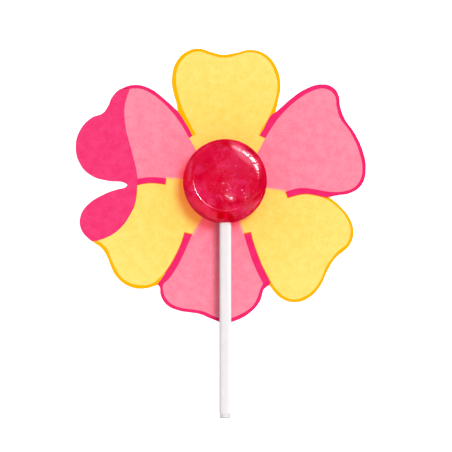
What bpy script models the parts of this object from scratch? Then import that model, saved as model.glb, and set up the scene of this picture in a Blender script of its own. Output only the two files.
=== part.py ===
"""Flat round lollipop lying on a die-cut paper flower card.

The card's back lies on the XY plane with the middle of the flower at the origin.
+Z points out of the printed side and the stick runs along -Y. All lengths are in metres.
"""
import math

import bmesh
import bpy
from mathutils import Matrix, Vector

MM = 0.001

# The card's thickness and the play that is left between solids that touch
CARD_THICKNESS = 0.5 * MM
PLAY = 0.3 * MM

# The stick is a tube of rolled paper, 4 mm across, which sets the scale of everything else
STICK_DIAMETER = 4.0 * MM
STICK_LENGTH = 90.0 * MM
STICK_EMBEDDED = 17.3 * MM
STICK_X = 0.15 * MM
STICK_END_ROUNDING = 0.25 * MM
STICK_SIDES = 40

# The candy is a moulded disc: a flat face inside a low raised ring, a round shoulder and a
# narrow band at its widest, where the two halves of the mould met
CANDY_RADIUS = 15.6 * MM
CANDY_HALF_THICKNESS = 5.5 * MM
CANDY_STEPS = 88
FACE_DROP = 0.3 * MM
RING_RADIUS = 12.1 * MM
# Share of the ring's radius at which its inner slope starts to rise from the face
SLOPE_START = 0.92
BAND_HALF_HEIGHT = 0.6 * MM
# Both faces sit a little toward the flower's top, off the middle of the rim
FACE_SHIFT = Vector((0.0, 0.95 * MM))

CANDY_MID_Z = CARD_THICKNESS + PLAY + CANDY_HALF_THICKNESS
STICK_INNER_Y = STICK_EMBEDDED - CANDY_RADIUS

# Outline of the card in millimetres, clockwise, one list for each petal. Each list opens with
# the sharp corner between that petal and the one before it.
TOP_PETAL = [
    (-17.6, 26.1), (-18.1, 29.2), (-19.0, 32.1), (-19.8, 38.4), (-17.8, 45.2), (-13.1, 49.0),
    (-9.3, 49.5), (-5.5, 48.4), (-1.1, 47.3), (3.8, 47.9), (9.7, 49.1), (14.9, 47.6),
    (18.8, 43.4), (20.8, 36.4), (19.9, 29.9),
]
RIGHT_PETAL = [
    (18.9, 25.7), (21.6, 28.1), (24.3, 30.5), (30.2, 34.5), (36.3, 36.2), (40.5, 35.0),
    (42.6, 31.9), (43.1, 28.1), (44.8, 23.3), (48.4, 18.1), (51.4, 11.7), (52.7, 5.2),
    (51.2, -1.3), (46.8, -4.5), (42.3, -5.3),
]
LOWER_RIGHT_PETAL = [
    (39.0, -6.0), (43.1, -9.4), (46.7, -14.0), (48.1, -19.1), (46.8, -23.7), (44.9, -25.8),
    (41.5, -28.6), (38.4, -33.4), (35.9, -38.8), (31.6, -43.5), (26.2, -45.3), (20.9, -43.7),
]
BOTTOM_PETAL = [
    (16.5, -38.9), (14.6, -40.5), (13.8, -43.0), (13.1, -45.0), (9.4, -49.2), (5.0, -51.8),
    (0.0, -53.0), (-4.8, -51.6), (-9.4, -49.7), (-13.1, -49.1), (-16.9, -48.5), (-21.7, -46.3),
    (-24.0, -42.6), (-24.4, -39.6),
]
LOWER_LEFT_PETAL = [
    (-25.0, -38.8), (-30.3, -40.2), (-35.9, -39.3), (-40.6, -35.6), (-43.0, -30.9),
    (-43.8, -28.7), (-45.9, -25.3), (-50.5, -21.9), (-53.7, -18.1), (-54.1, -13.4),
    (-51.5, -9.0), (-45.2, -4.9), (-40.0, -3.0), (-37.5, -2.4),
]
UPPER_LEFT_PETAL = [
    (-36.4, -1.5), (-37.4, -0.7), (-43.8, 0.1), (-49.7, 1.9), (-53.9, 5.9), (-55.8, 12.7),
    (-54.1, 19.2), (-49.9, 23.7), (-45.6, 25.5), (-43.7, 28.1), (-42.2, 31.4), (-38.5, 34.7),
    (-33.7, 36.0), (-28.4, 34.8), (-22.4, 30.5),
]
PETALS = [
    TOP_PETAL, RIGHT_PETAL, LOWER_RIGHT_PETAL, BOTTOM_PETAL, LOWER_LEFT_PETAL, UPPER_LEFT_PETAL,
]


def clear_scene():
    for item in list(bpy.data.objects):
        bpy.data.objects.remove(item, do_unlink=True)


def make_collection(name):
    collection = bpy.data.collections.new(name)
    bpy.context.scene.collection.children.link(collection)
    return collection


def make_material(name, colour, roughness):
    material = bpy.data.materials.new(name)
    material.use_nodes = True
    shader = material.node_tree.nodes["Principled BSDF"]
    shader.inputs["Base Color"].default_value = (*colour, 1.0)
    shader.inputs["Roughness"].default_value = roughness
    shader.inputs["Metallic"].default_value = 0.0
    return material


def shade_round(mesh, sharp_degrees):
    mesh.shade_smooth()
    mesh.set_sharp_from_angle(angle=math.radians(sharp_degrees))


def build_card(collection):
    """The flower: one smooth outline with a sharp corner between each two petals."""
    curve = bpy.data.curves.new("flower_card", "CURVE")
    curve.dimensions = "2D"
    curve.fill_mode = "BOTH"
    curve.extrude = CARD_THICKNESS / 2
    curve.resolution_u = 6
    spline = curve.splines.new("BEZIER")
    spline.use_cyclic_u = True
    spline.bezier_points.add(sum(len(petal) for petal in PETALS) - 1)
    index = 0
    for petal in PETALS:
        for place, (x, y) in enumerate(petal):
            point = spline.bezier_points[index]
            handle = "VECTOR" if place == 0 else "AUTO"
            point.co = (x * MM, y * MM, 0.0)
            point.handle_left_type = handle
            point.handle_right_type = handle
            index += 1
    card = bpy.data.objects.new("flower_card", curve)
    card.location = (0.0, 0.0, CARD_THICKNESS / 2)
    curve.materials.append(make_material("printed_card", (0.985, 0.60, 0.22), 0.55))
    collection.objects.link(card)
    return card


def candy_half_profile():
    """Radius and height of the upper half, from the middle of the face out to the band."""
    face_z = CANDY_HALF_THICKNESS - FACE_DROP
    points = [(0.0, face_z), (RING_RADIUS * 0.5, face_z), (RING_RADIUS * SLOPE_START, face_z)]
    # The low ring that stands up around the face
    for step in range(1, 5):
        turn = math.pi * step / 4
        radius = RING_RADIUS * (SLOPE_START + (1 - SLOPE_START) * step / 4)
        points.append((radius, face_z + FACE_DROP * (1 - math.cos(turn)) / 2))
    # The shoulder is a quarter of an ellipse from the ring down to the band
    reach = CANDY_RADIUS - RING_RADIUS
    fall = CANDY_HALF_THICKNESS - BAND_HALF_HEIGHT
    for step in range(1, 9):
        turn = math.pi / 2 * step / 8
        points.append((
            RING_RADIUS + reach * math.sin(turn),
            BAND_HALF_HEIGHT + fall * math.cos(turn),
        ))
    return points


def face_shift_share(radius):
    """All of the shift inside the ring, easing to none at the rim."""
    reach = (radius - RING_RADIUS) / (CANDY_RADIUS - RING_RADIUS)
    reach = min(max(reach, 0.0), 1.0)
    return 1 - reach * reach * (3 - 2 * reach)


def build_candy(collection, cutters):
    """The disc turned from its profile, its faces moved off the middle, and the stick's hole."""
    upper = candy_half_profile()
    profile = upper + [(radius, -z) for radius, z in reversed(upper)]
    mesh = bpy.data.meshes.new("candy_profile")
    mesh.from_pydata(
        [(radius, 0.0, z) for radius, z in profile],
        [(i, i + 1) for i in range(len(profile) - 1)],
        [],
    )
    turned = bpy.data.objects.new("candy_profile", mesh)
    collection.objects.link(turned)
    screw = turned.modifiers.new("Turn", "SCREW")
    screw.axis = "Z"
    screw.steps = CANDY_STEPS
    screw.render_steps = CANDY_STEPS
    screw.use_merge_vertices = True
    screw.merge_threshold = 0.00001
    bpy.context.view_layer.update()
    evaluated = turned.evaluated_get(bpy.context.evaluated_depsgraph_get())
    disc = bpy.data.meshes.new_from_object(evaluated)
    bpy.data.objects.remove(turned, do_unlink=True)
    disc.name = "candy"
    for vertex in disc.vertices:
        share = face_shift_share(vertex.co.xy.length)
        vertex.co.x += FACE_SHIFT.x * share
        vertex.co.y += FACE_SHIFT.y * share
    shade_round(disc, 40.0)
    candy = bpy.data.objects.new("candy", disc)
    candy.location = (0.0, 0.0, CANDY_MID_Z)
    disc.materials.append(make_material("red_candy", (0.70, 0.008, 0.035), 0.12))
    collection.objects.link(candy)

    outside = CANDY_RADIUS + 4.0 * MM
    depth = outside + STICK_INNER_Y + PLAY
    bpy.ops.mesh.primitive_cylinder_add(
        vertices=STICK_SIDES,
        radius=STICK_DIAMETER / 2 + PLAY,
        depth=depth,
        location=(STICK_X, depth / 2 - outside, CANDY_MID_Z),
        rotation=(math.pi / 2, 0.0, 0.0),
    )
    cutter = bpy.context.active_object
    cutter.name = "stick_hole_cutter"
    cutter.hide_render = True
    cutter.display_type = "WIRE"
    for owner in list(cutter.users_collection):
        owner.objects.unlink(cutter)
    cutters.objects.link(cutter)

    cut = candy.modifiers.new("Stick hole", "BOOLEAN")
    cut.operation = "DIFFERENCE"
    cut.solver = "EXACT"
    cut.object = cutter
    return candy


def build_stick(collection):
    """The rolled paper stick, with its two cut edges slightly rounded."""
    mesh = bpy.data.meshes.new("stick")
    shape = bmesh.new()
    bmesh.ops.create_cone(
        shape,
        cap_ends=True,
        segments=STICK_SIDES,
        radius1=STICK_DIAMETER / 2,
        radius2=STICK_DIAMETER / 2,
        depth=STICK_LENGTH,
        matrix=Matrix.Rotation(math.pi / 2, 4, "X"),
    )
    shape.to_mesh(mesh)
    shape.free()
    shade_round(mesh, 40.0)
    stick = bpy.data.objects.new("stick", mesh)
    stick.location = (STICK_X, STICK_INNER_Y - STICK_LENGTH / 2, CANDY_MID_Z)
    mesh.materials.append(make_material("white_paper", (0.93, 0.93, 0.92), 0.55))
    collection.objects.link(stick)
    bevel = stick.modifiers.new("Rounded ends", "BEVEL")
    bevel.width = STICK_END_ROUNDING
    bevel.segments = 3
    bevel.limit_method = "ANGLE"
    bevel.angle_limit = math.radians(60.0)
    return stick


clear_scene()
parts = make_collection("flower_card_lollipop")
cutter_parts = make_collection("cutters")
build_card(parts)
build_candy(parts, cutter_parts)
build_stick(parts)
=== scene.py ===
import math

import bpy
import numpy as np
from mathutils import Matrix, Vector


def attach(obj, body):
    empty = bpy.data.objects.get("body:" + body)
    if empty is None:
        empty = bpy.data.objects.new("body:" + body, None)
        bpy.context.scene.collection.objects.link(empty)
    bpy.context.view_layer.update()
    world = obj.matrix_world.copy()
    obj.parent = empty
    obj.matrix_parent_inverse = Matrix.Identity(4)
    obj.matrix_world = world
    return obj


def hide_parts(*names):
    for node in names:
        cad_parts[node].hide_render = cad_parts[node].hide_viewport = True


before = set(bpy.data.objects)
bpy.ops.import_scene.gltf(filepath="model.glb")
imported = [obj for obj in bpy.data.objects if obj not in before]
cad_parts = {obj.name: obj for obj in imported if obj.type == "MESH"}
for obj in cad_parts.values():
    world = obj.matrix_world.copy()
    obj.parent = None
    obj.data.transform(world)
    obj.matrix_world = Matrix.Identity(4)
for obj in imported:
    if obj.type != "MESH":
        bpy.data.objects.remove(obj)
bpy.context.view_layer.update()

# The row frame is in metres, with the card's back on the XY plane. Outlines are drawn in
# millimetres on that plane.
MM = 0.001


# The photograph's view: straight down on the printed side, from far enough away that the
# disc's rim hides nothing of the card that the photograph shows.
VIEW_MIDDLE = (0.4 * MM, -16.8 * MM)
VIEW_WIDTH = 169.05 * MM
VIEW_DISTANCE = 2.4
SENSOR_WIDTH = 36.0


def deselect_all():
    bpy.ops.object.select_all(action="DESELECT")


deselect_all()
bpy.ops.object.camera_add(location=(*VIEW_MIDDLE, VIEW_DISTANCE), rotation=(0.0, 0.0, 0.0))
camera = bpy.context.object
camera.name = "view_from_above"
camera.data.type = "PERSP"
camera.data.sensor_width = SENSOR_WIDTH
camera.data.lens = SENSOR_WIDTH * VIEW_DISTANCE / VIEW_WIDTH
bpy.context.scene.camera = camera
bpy.context.scene.view_settings.view_transform = "Standard"
bpy.context.scene.view_settings.look = "None"
bpy.context.scene.view_settings.exposure = 0.0
bpy.context.scene.view_settings.gamma = 1.0


# The studio: a white sweep under the card, an even sky and one large soft key from the upper
# right. What gloss sees of the key is two lamps of their own, a bright pane and a wide glow.
SKY_LEVEL = 0.594
SKY_COLOUR = (1.0, 0.89, 0.90, 1.0)
KEY_AZIMUTH = 46.0
KEY_ELEVATION = 63.0
KEY_STRENGTH = 2.43
KEY_SPREAD = 22.0
WINDOW_AZIMUTH = 39.0
WINDOW_ELEVATION = 60.0
LAMP_DISTANCE = 2.0
FLOOR_RADIUS = 3.0
FLOOR_DROP = 0.2 * MM


def direction_to(azimuth, elevation):
    turn = math.radians(azimuth)
    rise = math.radians(elevation)
    return Vector((math.cos(rise) * math.cos(turn), math.cos(rise) * math.sin(turn), math.sin(rise)))


def add_lamp(name, kind, azimuth, elevation, energy):
    deselect_all()
    toward = direction_to(azimuth, elevation)
    facing = toward.to_track_quat("Z", "Y").to_euler()
    bpy.ops.object.light_add(type=kind, location=toward * LAMP_DISTANCE, rotation=facing)
    lamp = bpy.context.object
    lamp.name = name
    lamp.data.energy = energy
    return lamp


key = add_lamp("key_light", "SUN", KEY_AZIMUTH, KEY_ELEVATION, KEY_STRENGTH)
key.data.angle = math.radians(KEY_SPREAD)
key.visible_glossy = False

for name, size, energy in (("key_pane", 0.68, 40.0), ("key_glow", 1.20, 18.0)):
    pane = add_lamp(name, "AREA", WINDOW_AZIMUTH, WINDOW_ELEVATION, energy)
    pane.data.shape = "DISK"
    pane.data.size = size
    pane.visible_diffuse = False
    pane.visible_transmission = False

world = bpy.data.worlds.new("even_sky")
bpy.context.scene.world = world
world.use_nodes = True
sky = world.node_tree.nodes["Background"]
sky.inputs["Color"].default_value = SKY_COLOUR
sky.inputs["Strength"].default_value = SKY_LEVEL
world.cycles_visibility.glossy = False

deselect_all()
bpy.ops.mesh.primitive_circle_add(
    vertices=96, radius=FLOOR_RADIUS, fill_type="NGON", location=(0.0, 0.0, -FLOOR_DROP),
)
floor = bpy.context.object
floor.name = "white_sweep"
bpy.ops.object.transform_apply(location=True, rotation=True, scale=True)
sweep = bpy.data.materials.new("white_sweep")
sweep.use_nodes = True
nodes = sweep.node_tree.nodes
links = sweep.node_tree.links
shader = nodes["Principled BSDF"]
shader.inputs["Base Color"].default_value = (0.8, 0.8, 0.8, 1.0)
shader.inputs["Roughness"].default_value = 0.9
shader.inputs["Specular IOR Level"].default_value = 0.0
shader.inputs["Emission Color"].default_value = (1.0, 1.0, 1.0, 1.0)
# The floor glows for the camera alone, so that it shows white and lights nothing
seen = nodes.new("ShaderNodeLightPath")
glow = nodes.new("ShaderNodeMath")
glow.operation = "MULTIPLY"
glow.inputs[1].default_value = 0.8
links.new(seen.outputs["Is Camera Ray"], glow.inputs[0])
links.new(glow.outputs[0], shader.inputs["Emission Strength"])
sweep.cycles.emission_sampling = "NONE"
floor.data.materials.append(sweep)


# The card: 0.5 mm uncoated white board, die-cut to the flower's outline. The CAD solid keeps
# its shape and shows as the bare board on the cut edge and the back.
CLOUD_SCALE = 330.0
TOOTH_SCALE = 1400.0
# About how far the petals reach from the middle of the flower
FLOWER_REACH = 56.0 * MM


def add_node(tree, kind, label):
    node = tree.nodes.new(kind)
    node.label = label
    return node


def feed(tree, socket, value):
    """Links a socket to another, or sets it to a number or three numbers of a colour."""
    if isinstance(value, tuple):
        socket.default_value = (*value, 1.0)
    elif isinstance(value, float):
        socket.default_value = value
    else:
        tree.links.new(value, socket)


def spread(tree, label, value, low, high, to_low=0.0, to_high=1.0, curve="SMOOTHSTEP"):
    stretch = add_node(tree, "ShaderNodeMapRange", label)
    stretch.interpolation_type = curve
    for name, number in (("From Min", low), ("From Max", high), ("To Min", to_low), ("To Max", to_high)):
        stretch.inputs[name].default_value = number
    tree.links.new(value, stretch.inputs["Value"])
    return stretch.outputs["Result"]


def work_out(tree, label, operation, *values, clamp=False):
    result = add_node(tree, "ShaderNodeMath", label)
    result.operation = operation
    result.use_clamp = clamp
    for socket, value in zip(result.inputs, values):
        feed(tree, socket, value)
    return result.outputs[0]


def noise(tree, place, label, scale, detail, distortion=0.0, roughness=0.5):
    texture = add_node(tree, "ShaderNodeTexNoise", label)
    feed(tree, texture.inputs["Scale"], scale)
    texture.inputs["Detail"].default_value = detail
    texture.inputs["Distortion"].default_value = distortion
    texture.inputs["Roughness"].default_value = roughness
    tree.links.new(place, texture.inputs["Vector"])
    return texture.outputs["Fac"]


def mix_colour(tree, label, share, low, high):
    """Mixes low to high by share. Each colour is a socket or three numbers."""
    mix = add_node(tree, "ShaderNodeMix", label)
    mix.data_type = "RGBA"
    tree.links.new(share, mix.inputs["Factor"])
    feed(tree, mix.inputs["A"], low)
    feed(tree, mix.inputs["B"], high)
    return mix.outputs["Result"]


def add_bump(tree, label, height, strength, distance):
    """Roughens the material's own skin with a pattern of heights."""
    bump = add_node(tree, "ShaderNodeBump", label)
    bump.inputs["Strength"].default_value = strength
    bump.inputs["Distance"].default_value = distance
    tree.links.new(height, bump.inputs["Height"])
    tree.links.new(bump.outputs["Normal"], tree.nodes["Principled BSDF"].inputs["Normal"])


def build_paper_grain():
    """Mottle, soft clouds and fine grain; Reach, distance from the middle; Height for a Bump."""
    group = bpy.data.node_groups.new("paper_grain", "ShaderNodeTree")
    for name in ("Cloud Scale", "Tooth Scale"):
        group.interface.new_socket(name, in_out="INPUT", socket_type="NodeSocketFloat")
    for name in ("Mottle", "Reach", "Height"):
        group.interface.new_socket(name, in_out="OUTPUT", socket_type="NodeSocketFloat")
    entry = group.nodes.new("NodeGroupInput")
    leave = group.nodes.new("NodeGroupOutput")
    place = add_node(group, "ShaderNodeTexCoord", "place on the card").outputs["Object"]
    clouds = noise(group, place, "clouds", entry.outputs["Cloud Scale"], 3.0, roughness=0.6)
    tooth = noise(group, place, "tooth", entry.outputs["Tooth Scale"], 4.0, roughness=0.7)
    soft = spread(group, "spread the clouds", clouds, 0.36, 0.64, curve="LINEAR")
    fine = spread(group, "spread the tooth", tooth, 0.35, 0.65, curve="LINEAR")
    both = add_node(group, "ShaderNodeMix", "clouds with some tooth")
    both.data_type = "FLOAT"
    both.inputs[0].default_value = 0.5
    away = add_node(group, "ShaderNodeVectorMath", "distance from the middle")
    away.operation = "LENGTH"
    group.links.new(soft, both.inputs[2])
    group.links.new(fine, both.inputs[3])
    group.links.new(place, away.inputs[0])
    share = work_out(group, "as a share of the flower's reach", "DIVIDE", away.outputs["Value"], FLOWER_REACH)
    group.links.new(both.outputs[0], leave.inputs["Mottle"])
    group.links.new(share, leave.inputs["Reach"])
    group.links.new(tooth, leave.inputs["Height"])
    return group


paper_grain = build_paper_grain()


def lay_finish(tree, deep, pale, roughness, tooth_height, inner, outer):
    """Mottles a material from deep to pale, paler by inner near the middle of the flower and by outer at the
    petals' ends. A negative inner is a painted shade round the candy."""
    shader = tree.nodes["Principled BSDF"]
    grain = add_node(tree, "ShaderNodeGroup", "paper grain")
    grain.node_tree = paper_grain
    grain.inputs["Cloud Scale"].default_value = CLOUD_SCALE
    grain.inputs["Tooth Scale"].default_value = TOOTH_SCALE
    mottle, reach = grain.outputs["Mottle"], grain.outputs["Reach"]
    outward = spread(tree, "painted shade inward, paler outward", reach, 0.3, 0.9, inner + 0.1, outer + 0.1, "LINEAR")
    share = work_out(tree, "mottle and place", "MULTIPLY_ADD", mottle, 0.8, outward, clamp=True)
    tree.links.new(mix_colour(tree, "deep to pale", share, deep, pale), shader.inputs["Base Color"])
    add_bump(tree, "tooth of the board", grain.outputs["Height"], 0.5, tooth_height)
    shader.inputs["Roughness"].default_value = roughness
    shader.inputs["Specular IOR Level"].default_value = 0.0


def make_paper(name, deep, pale, roughness, tooth_height, inner=0.0, outer=0.0):
    """A paper or ink finish whose colour wanders between two close tones."""
    material = bpy.data.materials.new(name)
    material.use_nodes = True
    lay_finish(material.node_tree, deep, pale, roughness, tooth_height, inner, outer)
    return material


bare_board = make_paper("bare_board", (0.80, 0.79, 0.77), (0.87, 0.865, 0.85), 0.9, 0.02 * MM)
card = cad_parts["flower_card"]
for slot in card.material_slots:
    slot.material = bare_board


# The yellow print: three whole petals, each one flat field of ink that runs from the middle of
# the flower to the cut edge. Printed first, straight on the board.
CARD_TOP = 0.5 * MM
INK_HALF = 0.01 * MM
TOP_PETAL = [
    (-17.6, 26.1), (-18.1, 29.2), (-19.0, 32.1), (-19.8, 38.4), (-17.8, 45.2), (-13.1, 49.0),
    (-9.3, 49.5), (-5.5, 48.4), (-1.1, 47.3), (3.8, 47.9), (9.7, 49.1), (14.9, 47.6),
    (18.8, 43.4), (20.8, 36.4), (19.9, 29.9),
]
LOWER_RIGHT_PETAL = [
    (39.0, -6.0), (43.1, -9.4), (46.7, -14.0), (48.1, -19.1), (46.8, -23.7), (44.9, -25.8),
    (41.5, -28.6), (38.4, -33.4), (35.9, -38.8), (31.6, -43.5), (26.2, -45.3), (20.9, -43.7),
]
LOWER_LEFT_PETAL = [
    (-25.0, -38.8), (-30.3, -40.2), (-35.9, -39.3), (-40.6, -35.6), (-43.0, -30.9),
    (-43.8, -28.7), (-45.9, -25.3), (-50.5, -21.9), (-53.7, -18.1), (-54.1, -13.4),
    (-51.5, -9.0), (-45.2, -4.9), (-40.0, -3.0), (-37.5, -2.4),
]
# The seams between the petals, from the middle of the flower out to each notch of the outline
SEAM_TOP_LEFT = [(-8.6, 7.5), (-11.05, 11.9), (-13.35, 16.15), (-14.4, 19.2), (-15.5, 21.9), (-16.8, 24.5)]
SEAM_TOP_RIGHT = [(9.9, 6.5), (12.45, 11.0), (15.1, 16.05), (16.1, 19.0), (17.1, 21.6), (18.2, 24.2)]
SEAM_RIGHT = [(23.2, -5.0), (28.0, -3.7), (35.5, -4.6)]
SEAM_BOTTOM_RIGHT = [(8.4, -19.4), (9.3, -22.9), (11.2, -28.5), (13.3, -33.3)]
SEAM_BOTTOM_LEFT = [(-13.6, -19.6), (-16.0, -25.6), (-19.4, -32.0), (-22.4, -36.2)]
SEAM_LEFT = [(-22.3, -0.05), (-28.0, 0.4), (-33.0, -0.2)]


def corners(points):
    """Runs of one point each, so that the line between them stays straight."""
    return [[point] for point in points]


def petal_field(outline, next_corner, seam_in, seam_out):
    """One petal's whole field: its outline, then in along one seam and out along the other."""
    return [outline, [next_corner]] + corners(reversed(seam_in)) + [[(0.0, 0.0)]] + corners(seam_out)


def print_shape(name, loops, layer, material):
    """A film of ink from closed loops of runs. Each run opens with a sharp corner."""
    deselect_all()
    bpy.ops.curve.primitive_bezier_curve_add(location=(0.0, 0.0, 0.0))
    shape = bpy.context.object
    shape.name = name
    shape.data.name = name
    curve = shape.data
    curve.splines.clear()
    curve.dimensions = "2D"
    curve.fill_mode = "BOTH"
    curve.resolution_u = 6
    curve.extrude = INK_HALF
    for loop in loops:
        spline = curve.splines.new("BEZIER")
        spline.use_cyclic_u = True
        spline.bezier_points.add(sum(len(run) for run in loop) - 1)
        index = 0
        for run in loop:
            for place, (x, y) in enumerate(run):
                point = spline.bezier_points[index]
                handle = "VECTOR" if place == 0 else "AUTO"
                point.co = (x * MM, y * MM, 0.0)
                point.handle_left_type = handle
                point.handle_right_type = handle
                index += 1
    deselect_all()
    shape.select_set(True)
    bpy.context.view_layer.objects.active = shape
    bpy.ops.object.convert(target="MESH")
    shape = bpy.context.object
    bpy.ops.object.mode_set(mode="EDIT")
    bpy.ops.mesh.select_all(action="SELECT")
    bpy.ops.mesh.remove_doubles(threshold=0.000001)
    bpy.ops.mesh.normals_make_consistent(inside=False)
    bpy.ops.transform.translate(value=(0.0, 0.0, CARD_TOP + INK_HALF * (2 * layer + 1)))
    bpy.ops.object.mode_set(mode="OBJECT")
    bpy.ops.object.shade_flat()
    shape.data.materials.clear()
    shape.data.materials.append(material)
    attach(shape, "root")


YELLOW_DEEP = (0.860, 0.580, 0.092)
YELLOW_PALE = (0.885, 0.705, 0.180)
# Deeper near the middle of the flower, a painted shade round the candy, and paler at the petals' ends
YELLOW_SHADE_NEAR_MIDDLE = -0.20
YELLOW_OUTER = 0.28
INK_ROUGHNESS = 0.8
FIELD_TOOTH = 0.02 * MM
yellow_ink = make_paper(
    "yellow_ink", YELLOW_DEEP, YELLOW_PALE, INK_ROUGHNESS, FIELD_TOOTH, YELLOW_SHADE_NEAR_MIDDLE, YELLOW_OUTER,
)
print_shape("yellow_fields", [
    petal_field(TOP_PETAL, (18.9, 25.7), SEAM_TOP_RIGHT, SEAM_TOP_LEFT),
    petal_field(LOWER_RIGHT_PETAL, (16.5, -38.9), SEAM_BOTTOM_RIGHT, SEAM_RIGHT),
    petal_field(LOWER_LEFT_PETAL, (-36.4, -1.5), SEAM_LEFT, SEAM_BOTTOM_LEFT),
], 0, yellow_ink)


# The pink print: the other three petals, one flat field of ink each, printed on the board in
# the same way and on the same layer.
RIGHT_PETAL = [
    (18.9, 25.7), (21.6, 28.1), (24.3, 30.5), (30.2, 34.5), (36.3, 36.2), (40.5, 35.0),
    (42.6, 31.9), (43.1, 28.1), (44.8, 23.3), (48.4, 18.1), (51.4, 11.7), (52.7, 5.2),
    (51.2, -1.3), (46.8, -4.5), (42.3, -5.3),
]
BOTTOM_PETAL = [
    (16.5, -38.9), (14.6, -40.5), (13.8, -43.0), (13.1, -45.0), (9.4, -49.2), (5.0, -51.8),
    (0.0, -53.0), (-4.8, -51.6), (-9.4, -49.7), (-13.1, -49.1), (-16.9, -48.5), (-21.7, -46.3),
    (-24.0, -42.6), (-24.4, -39.6),
]
UPPER_LEFT_PETAL = [
    (-36.4, -1.5), (-37.4, -0.7), (-43.8, 0.1), (-49.7, 1.9), (-53.9, 5.9), (-55.8, 12.7),
    (-54.1, 19.2), (-49.9, 23.7), (-45.6, 25.5), (-43.7, 28.1), (-42.2, 31.4), (-38.5, 34.7),
    (-33.7, 36.0), (-28.4, 34.8), (-22.4, 30.5),
]
PINK_DEEP = (0.870, 0.178, 0.264)
PINK_PALE = (0.920, 0.286, 0.378)
# Deeper near the middle by 0.15, a painted shade round the candy, and a little paler at the petals' ends
pink_ink = make_paper("pink_ink", PINK_DEEP, PINK_PALE, INK_ROUGHNESS, FIELD_TOOTH, -0.15, 0.05)
print_shape("pink_fields", [
    petal_field(RIGHT_PETAL, (39.0, -6.0), SEAM_RIGHT, SEAM_TOP_RIGHT),
    petal_field(BOTTOM_PETAL, (-25.0, -38.8), SEAM_BOTTOM_LEFT, SEAM_BOTTOM_RIGHT),
    petal_field(UPPER_LEFT_PETAL, (-17.6, 26.1), SEAM_TOP_LEFT, SEAM_LEFT),
], 0, pink_ink)


# The middle of the print: round the candy the yellow and pink run softly into each other along
# four rays. It is the same two inks, laid down once more out to where the lines begin, and
# leaves out the top petal, whose two sides are crisp.
SEAM_ANGLES = {"right": -9.3, "left": 177.0, "bottom_left": 238.4, "bottom_right": 289.9}
SEAM_BLUR = 1.5
MIDDLE_OUTLINE = [
    [(23.2, -4.9), (21.5, 1.0), (20.5, 7.5), (18.3, 12.5)], [(15.2, 15.85)], [(12.6, 10.9)], [(9.9, 6.2)],
    [(4.0, 2.0)], [(-4.0, 2.0)], [(-8.7, 7.2)], [(-11.2, 11.8)],
    [(-13.5, 15.95), (-17.4, 11.5), (-20.2, 6.5), (-22.35, 1.1), (-22.5, -6.0), (-20.8, -12.0),
     (-17.6, -16.6), (-12.5, -20.35), (-6.5, -20.8), (0.5, -20.8), (7.2, -19.9), (12.0, -18.0),
     (17.0, -15.0), (21.0, -10.2)],
]
# The ray from which the gradient counts, in the middle of the upper left petal
COUNT_FROM = 154.0


def ray_share(angle):
    return ((angle - COUNT_FROM) / 360.0) % 1.0


def make_middle_ink():
    material = bpy.data.materials.new("middle_ink")
    material.use_nodes = True
    tree = material.node_tree
    place = add_node(tree, "ShaderNodeTexCoord", "place on the card")
    turn = add_node(tree, "ShaderNodeMapping", "count from the upper left petal")
    turn.inputs["Rotation"].default_value = (0.0, 0.0, math.radians(180.0 - COUNT_FROM))
    around = add_node(tree, "ShaderNodeTexGradient", "angle round the flower")
    around.gradient_type = "RADIAL"
    tree.links.new(place.outputs["Object"], turn.inputs["Vector"])
    tree.links.new(turn.outputs["Vector"], around.inputs["Vector"])
    blur = SEAM_BLUR / 360.0
    tones = []
    for label, yellow, pink in (("deep", YELLOW_DEEP, PINK_DEEP), ("pale", YELLOW_PALE, PINK_PALE)):
        ramp = add_node(tree, "ShaderNodeValToRGB", label + " tones round the flower")
        stops = ramp.color_ramp.elements
        stops[0].position = 0.0
        stops[0].color = (*pink, 1.0)
        stops[1].position = 1.0
        stops[1].color = (*pink, 1.0)
        before, after = pink, yellow
        for share in sorted(ray_share(angle) for angle in SEAM_ANGLES.values()):
            stops.new(share - blur).color = (*before, 1.0)
            stops.new(share + blur).color = (*after, 1.0)
            before, after = after, before
        tree.links.new(around.outputs["Fac"], ramp.inputs["Fac"])
        tones.append(ramp.outputs["Color"])
    # The same painted shade round the candy as on the yellow fields
    lay_finish(tree, tones[0], tones[1], INK_ROUGHNESS, FIELD_TOOTH, YELLOW_SHADE_NEAR_MIDDLE, YELLOW_OUTER)
    return material


print_shape("middle_print", [MIDDLE_OUTLINE], 1, make_middle_ink())


# The orange print: the line round each yellow petal, thin along the cut edge and swelling or
# running out to a hairline beside the magenta strips between the petals.
LINE_TOOTH = 0.01 * MM
orange_ink = make_paper(
    "orange_ink", (0.780, 0.390, 0.0004), (0.805, 0.440, 0.0012), INK_ROUGHNESS, LINE_TOOTH,
)
TOP_LINE = [
    [(-12.15, 16.9), (-13.3, 19.2), (-14.9, 21.95), (-16.5, 24.5)],
    TOP_PETAL,
    [(18.9, 25.7), (17.5, 24.9), (15.9, 22.4), (14.6, 19.8)],
    [(13.0, 17.1)], [(15.1, 16.0)], [(14.95, 15.75)],
    [(12.65, 17.0), (13.8, 19.7), (15.7, 22.7), (17.5, 26.55), (18.8, 30.3), (19.6, 34.3), (19.5, 37.6),
     (18.6, 40.8), (16.7, 44.45), (13.7, 47.1), (9.6, 48.2), (5.2, 47.3), (1.0, 46.2), (-2.45, 46.4),
     (-6.0, 47.4), (-9.9, 48.5), (-13.3, 47.55), (-15.8, 45.55), (-17.7, 42.2), (-18.3, 37.8),
     (-17.6, 33.0), (-16.2, 28.05), (-14.0, 23.3), (-12.1, 19.7)],
    [(-10.95, 17.5)],
]
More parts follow.
